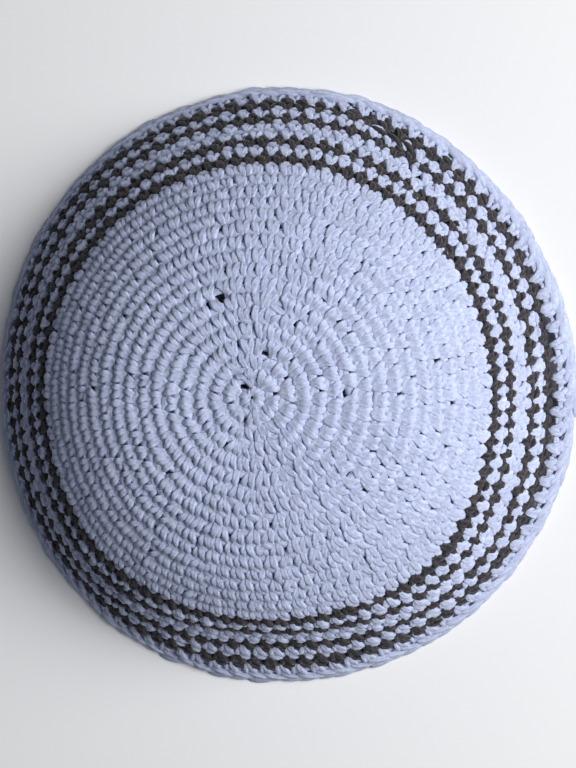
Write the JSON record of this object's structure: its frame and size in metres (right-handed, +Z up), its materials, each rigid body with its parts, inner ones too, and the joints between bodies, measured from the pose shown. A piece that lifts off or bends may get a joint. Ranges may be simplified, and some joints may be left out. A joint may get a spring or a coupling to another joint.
{
  "type": "crocheted kippah skullcap",
  "caption": "Shallow domed skullcap crocheted in rounds of plump white yarn, with narrow grey rounds near its rim; it rests on the crown of the head.",
  "frame": {"origin": "on the cap's axis, in the plane of the rim's underside", "axes": "+Z up out of the crown's centre, +Y along the cap's slightly longer width"},
  "size_m": [0.1757, 0.1814, 0.0636],
  "materials": {
    "white_yarn": "matt cotton yarn, pale cool white",
    "grey_yarn": "matt cotton yarn, charcoal grey"
  },
  "bodies": {
    "root": {"crown": "white_yarn", "grey_round_1": "grey_yarn", "white_round_1": "white_yarn", "grey_round_2": "grey_yarn", "white_round_2": "white_yarn", "grey_round_3": "grey_yarn", "white_round_3": "white_yarn", "grey_round_4": "grey_yarn", "edge_round": "white_yarn"}
  },
  "joints": []
}
